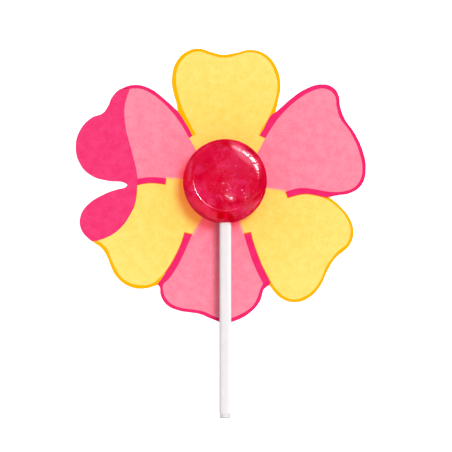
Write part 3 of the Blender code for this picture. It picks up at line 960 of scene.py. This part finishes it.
def make_candy_sugar():
    material = bpy.data.materials.new("red_sugar")
    material.use_nodes = True
    tree = material.node_tree
    shader = tree.nodes["Principled BSDF"]
    place = add_node(tree, "ShaderNodeTexCoord", "place in the candy").outputs["Object"]
    clouds = spread(tree, "clouds", noise(tree, place, "clouds", 210.0, 4.0, 1.2), 0.38, 0.64)
    tree.links.new(sugar_colour_and_painted_light(tree, place, clouds), shader.inputs["Base Color"])
    add_bump(tree, "uneven skin", noise(tree, place, "fine pits", 1500.0, 3.0), 0.35, 0.02 * MM)
    dull = spread(tree, "dull and clear patches", clouds, 0.0, 1.0, 0.22, 0.34)
    tree.links.new(dull, shader.inputs["Roughness"])
    shader.inputs["Subsurface Weight"].default_value = 1.0
    shader.inputs["Subsurface Radius"].default_value = (1.0, 0.16, 0.2)
    shader.inputs["Subsurface Scale"].default_value = 0.9 * MM
    shader.inputs["IOR"].default_value = 1.5
    shader.inputs["Specular IOR Level"].default_value = 0.0
    tree.links.new(sugar_gloss(tree, place), shader.inputs["Coat Weight"])
    shader.inputs["Coat Roughness"].default_value = 0.11
    shader.inputs["Coat IOR"].default_value = 1.5
    # The sugar lets red light through, so its shadow on the card is red
    path = add_node(tree, "ShaderNodeLightPath", "light on its way to the card")
    tint = add_node(tree, "ShaderNodeBsdfTransparent", "red light through the sugar")
    tint.inputs["Color"].default_value = (0.78, 0.25, 0.17, 1.0)
    either = add_node(tree, "ShaderNodeMixShader", "sugar, or its shadow")
    leave = tree.nodes["Material Output"]
    tree.links.new(path.outputs["Is Shadow Ray"], either.inputs[0])
    tree.links.new(shader.outputs["BSDF"], either.inputs[1])
    tree.links.new(tint.outputs["BSDF"], either.inputs[2])
    tree.links.new(either.outputs["Shader"], leave.inputs["Surface"])
    return material


candy.data.materials.clear()
candy.data.materials.append(make_candy_sugar())
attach(candy, "root")
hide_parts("candy")


# The stick: one sheet of white paper rolled tight and glued, 4 mm across, cut square at the
# end. The sheet's outer edge makes a low step along the underside, and the end shows the roll.
STICK_RADIUS = 1.96
STICK_INNER_Y = 1.7
STICK_LENGTH = 90.0
STICK_SIDES = 96
deselect_all()
bpy.ops.mesh.primitive_cylinder_add(
    vertices=STICK_SIDES, radius=STICK_RADIUS * MM, depth=STICK_LENGTH * MM, end_fill_type="NGON",
    location=(STICK_X * MM, (STICK_INNER_Y - STICK_LENGTH / 2) * MM, CANDY_MID_Z * MM),
    rotation=(math.pi / 2, 0.0, 0.0),
)
stick = bpy.context.object
stick.name = "rolled_stick"
stick.data.name = "rolled_stick"
bpy.ops.object.transform_apply(location=True, rotation=True, scale=True)
bpy.ops.object.mode_set(mode="EDIT")
bpy.ops.mesh.select_all(action="DESELECT")
bpy.ops.object.mode_set(mode="OBJECT")
for face in stick.data.polygons:
    face.select = len(face.vertices) > 4
bpy.ops.object.mode_set(mode="EDIT")
bpy.ops.mesh.select_mode(type="FACE")
# The turns of paper show on the cut end as fine grooves round a pinched middle
for inset, depth in ((0.12, 0.06), (0.22, 0.0), (0.08, -0.07), (0.10, 0.06), (0.30, 0.0), (0.08, -0.07),
                     (0.10, 0.06), (0.35, -0.05), (0.25, -0.25)):
    bpy.ops.mesh.inset(thickness=inset * MM, depth=depth * MM, use_individual=True)
bpy.ops.object.mode_set(mode="OBJECT")
ends = np.zeros(len(stick.data.vertices) * 3)
stick.data.vertices.foreach_get("co", ends)
ends = ends.reshape(-1, 3) / MM
off_x = ends[:, 0] - STICK_X
off_z = ends[:, 2] - CANDY_MID_Z
round_stick = np.degrees(np.arctan2(off_z, off_x))
# The sheet's free edge lies underneath, a little to the left. The roll is thinnest just past it.
EDGE_BEARING = -110.0
EDGE_STEP = 0.02
since_edge = (round_stick - EDGE_BEARING) % 360.0 / 360.0
shrink = 1.0 - EDGE_STEP * (1.0 - since_edge)
ends[:, 0] = STICK_X + off_x * shrink
ends[:, 2] = CANDY_MID_Z + off_z * shrink
stick.data.vertices.foreach_set("co", (ends * MM).reshape(-1))
stick.data.update()
deselect_all()
stick.select_set(True)
bpy.context.view_layer.objects.active = stick
edge_round = stick.modifiers.new("cut_edge", "BEVEL")
edge_round.width = 0.10 * MM
edge_round.segments = 2
edge_round.limit_method = "ANGLE"
edge_round.angle_limit = math.radians(60.0)
bpy.ops.object.modifier_apply(modifier=edge_round.name)
bpy.ops.object.shade_smooth_by_angle(angle=math.radians(35.0))


def make_stick_paper():
    material = bpy.data.materials.new("rolled_white_paper")
    material.use_nodes = True
    tree = material.node_tree
    shader = tree.nodes["Principled BSDF"]
    place = add_node(tree, "ShaderNodeTexCoord", "place on the stick").outputs["Object"]
    stretch = add_node(tree, "ShaderNodeMapping", "fibres run along the stick")
    stretch.inputs["Scale"].default_value = (1.0, 0.12, 1.0)
    tree.links.new(place, stretch.inputs["Vector"])
    fibre = noise(tree, stretch.outputs["Vector"], "fibres", 2400.0, 3.0)
    clouds = spread(tree, "clouds", noise(tree, place, "clouds", 320.0, 3.0), 0.3, 0.7)
    colour = mix_colour(tree, "white paper", clouds, (0.770, 0.768, 0.771), (0.790, 0.788, 0.791))
    marks = spread(tree, "fibre marks", fibre, 0.55, 0.85, 0.0, 0.6)
    colour = mix_colour(tree, "fibres", marks, colour, (0.735, 0.733, 0.735))
    tree.links.new(colour, shader.inputs["Base Color"])
    add_bump(tree, "fibres stand up", fibre, 0.4, 0.01 * MM)
    shader.inputs["Roughness"].default_value = 0.6
    shader.inputs["Specular IOR Level"].default_value = 0.15
    return material


stick.data.materials.clear()
stick.data.materials.append(make_stick_paper())
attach(stick, "root")
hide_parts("stick")
